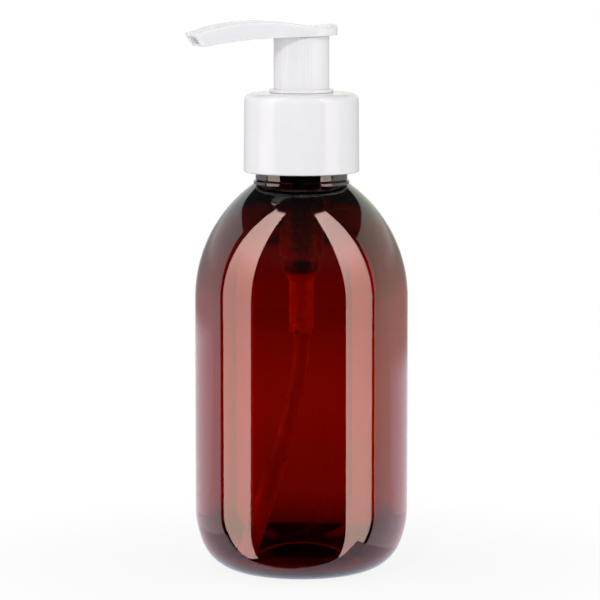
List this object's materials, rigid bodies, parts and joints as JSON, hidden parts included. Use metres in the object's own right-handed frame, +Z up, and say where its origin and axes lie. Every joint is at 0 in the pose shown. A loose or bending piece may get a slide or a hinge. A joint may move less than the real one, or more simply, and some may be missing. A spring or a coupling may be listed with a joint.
{
  "type": "soap pump dispenser",
  "caption": "Round amber plastic bottle with a white lotion pump: pressing the arched spout head draws soap up a dip tube and out of its tip.",
  "frame": {"origin": "centre of the flat ring that the bottle stands on", "axes": "+Z up along the axis of the bottle and the pump, -X towards the tip of the spout"},
  "size_m": [0.0655, 0.062, 0.1603],
  "materials": {
    "amber_pet": "clear gloss, deep red brown",
    "white_pp": "smooth moulded, soft gloss",
    "natural_pp": "milky, translucent, smooth",
    "natural_pe": "milky, translucent, soft",
    "foam_pe": "fine closed foam",
    "spring_steel": "bright drawn wire",
    "ball_steel": "polished"
  },
  "bodies": {
    "bottle": {"bottle": "amber_pet"},
    "pump": {"pump_housing": "natural_pp", "lock_ring": "white_pp", "neck_gasket": "foam_pe", "dip_tube": "natural_pe", "dip_tube_extension": "natural_pe", "return_spring": "spring_steel"},
    "collar": {"collar": "white_pp"},
    "plunger": {"piston": "natural_pe"},
    "head": {"actuator": "white_pp", "stem": "natural_pp", "piston_seat": "natural_pp"},
    "ball": {"inlet_ball": "ball_steel"}
  },
  "joints": [
    {"name": "pump_lift", "type": "slide", "parent": "bottle", "child": "pump", "axis": [0, 0, 1], "range_m": [0, 0.00635]},
    {"name": "collar_turn", "type": "hinge", "parent": "pump", "child": "collar", "pos_m": [0, 0, 0.128], "axis": [0, 0, 1], "range_deg": [0, 540]},
    {"name": "pump_stroke", "type": "slide", "parent": "pump", "child": "plunger", "axis": [0, 0, -1], "range_m": [0, 0.013], "stiffness_N_per_m": 350, "springref_m": -0.02, "deforming": ["return_spring"]},
    {"name": "head_turn", "type": "hinge", "parent": "plunger", "child": "head", "pos_m": [0, 0, 0.15], "axis": [0, 0, 1], "continuous": true},
    {"name": "ball_lift", "type": "slide", "parent": "pump", "child": "ball", "axis": [0, 0, 1], "range_m": [0, 0.0012]}
  ],
  "couplings": [
    {"joint": "collar_turn", "follows": "pump_lift", "rad_per_m": 1484.2}
  ]
}
